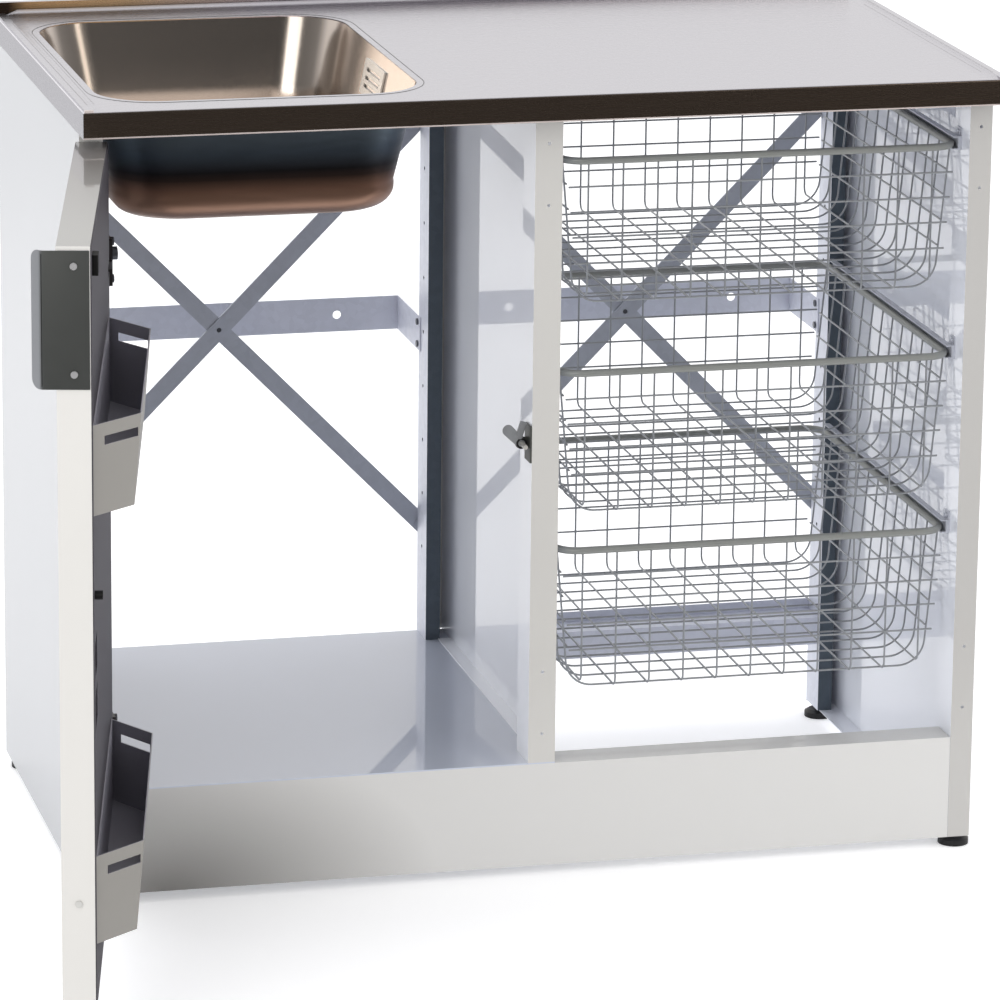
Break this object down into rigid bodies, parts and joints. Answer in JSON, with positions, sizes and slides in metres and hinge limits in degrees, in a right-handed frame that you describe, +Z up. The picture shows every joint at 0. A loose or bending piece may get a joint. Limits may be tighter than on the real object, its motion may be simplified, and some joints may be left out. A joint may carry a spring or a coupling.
{
  "type": "kitchen sink unit",
  "caption": "steel kitchen sink unit: pressed top with one bowl, hinged door with bins, and an open bay with sliding wire baskets, on levelling feet",
  "frame": {"origin": "on the floor, under the middle of the front left foot", "axes": "+X to the right as seen from the front, +Y from the front to the wall, +Z up"},
  "size_m": [1.1279, 1.134, 0.888],
  "materials": {
    "stainless": "brushed",
    "enamel": "glossy baked enamel",
    "zinc": "zinc plated",
    "handle_steel": "satin",
    "hinge_steel": "satin",
    "liner": "satin",
    "bin_sheet": "satin",
    "wire": "plated",
    "rubber": "matt",
    "black_plastic": "matt",
    "foot_plastic": "matt"
  },
  "bodies": {
    "carcass": {"worktop": "stainless", "sink_bowl": "stainless", "overflow_plate": "stainless", "drain_cup": "stainless", "drain_gasket": "rubber", "drain_nut": "black_plastic", "side_panel_left": "enamel", "side_panel_right": "enamel", "divider_panel": "enamel", "rear_post_left": "zinc", "rear_post_middle": "zinc", "rear_post_right": "zinc", "wall_rail_left": "zinc", "wall_rail_right": "zinc", "brace_left_rising": "zinc", "brace_left_falling": "zinc", "brace_right_rising": "zinc", "brace_right_falling": "zinc", "brace_screws": "zinc", "bottom_shelf": "enamel", "plinth": "enamel", "rear_bottom_rail": "enamel", "top_battens": "zinc", "foot_nuts": "zinc", "hinge_brackets": "hinge_steel", "hinge_bolts": "zinc", "latch_bracket": "zinc", "latch_pin": "zinc", "runners_top": "zinc", "runners_middle": "zinc", "runners_bottom": "zinc"},
    "door": {"door_pan": "enamel", "door_liner": "liner", "door_handle": "handle_steel", "handle_screws": "zinc", "edge_plug": "zinc", "door_buffer": "rubber", "catch_bush": "black_plastic", "hinge_blocks": "black_plastic", "hinge_pins": "zinc", "door_bin_upper": "bin_sheet", "door_bin_lower": "bin_sheet"},
    "strainer": {"strainer_basket": "stainless"},
    "latch": {"latch_lever": "zinc"},
    "basket_top": {"basket_top_rim": "wire", "basket_top_ends": "wire", "basket_top_sides": "wire", "basket_top_floor": "wire"},
    "basket_middle": {"basket_middle_rim": "wire", "basket_middle_ends": "wire", "basket_middle_sides": "wire", "basket_middle_floor": "wire"},
    "basket_bottom": {"basket_bottom_rim": "wire", "basket_bottom_ends": "wire", "basket_bottom_sides": "wire", "basket_bottom_floor": "wire"},
    "foot_front_left": {"foot_front_left": "foot_plastic"},
    "foot_front_right": {"foot_front_right": "foot_plastic"},
    "foot_rear_left": {"foot_rear_left": "foot_plastic"},
    "foot_rear_right": {"foot_rear_right": "foot_plastic"}
  },
  "joints": [
    {"name": "door_hinge", "type": "hinge", "parent": "carcass", "child": "door", "pos_m": [-0.0005, -0.0355, 0.483], "axis": [0, 0, -1], "range_deg": [-102, 8]},
    {"name": "strainer_lift", "type": "slide", "parent": "carcass", "child": "strainer", "axis": [0, 0, 1], "range_m": [0, 0.08]},
    {"name": "latch_turn", "type": "hinge", "parent": "carcass", "child": "latch", "pos_m": [0.4659, -0.007, 0.486], "axis": [0, -1, 0], "range_deg": [0, 80]},
    {"name": "basket_top_slide", "type": "slide", "parent": "carcass", "child": "basket_top", "axis": [0, -1, 0], "range_m": [0, 0.3]},
    {"name": "basket_middle_slide", "type": "slide", "parent": "carcass", "child": "basket_middle", "axis": [0, -1, 0], "range_m": [0, 0.3]},
    {"name": "basket_bottom_slide", "type": "slide", "parent": "carcass", "child": "basket_bottom", "axis": [0, -1, 0], "range_m": [0, 0.3]},
    {"name": "foot_front_left_height", "type": "slide", "parent": "carcass", "child": "foot_front_left", "axis": [0, 0, -1], "range_m": [0, 0.015]},
    {"name": "foot_front_right_height", "type": "slide", "parent": "carcass", "child": "foot_front_right", "axis": [0, 0, -1], "range_m": [0, 0.015]},
    {"name": "foot_rear_left_height", "type": "slide", "parent": "carcass", "child": "foot_rear_left", "axis": [0, 0, -1], "range_m": [0, 0.015]},
    {"name": "foot_rear_right_height", "type": "slide", "parent": "carcass", "child": "foot_rear_right", "axis": [0, 0, -1], "range_m": [0, 0.015]}
  ]
}
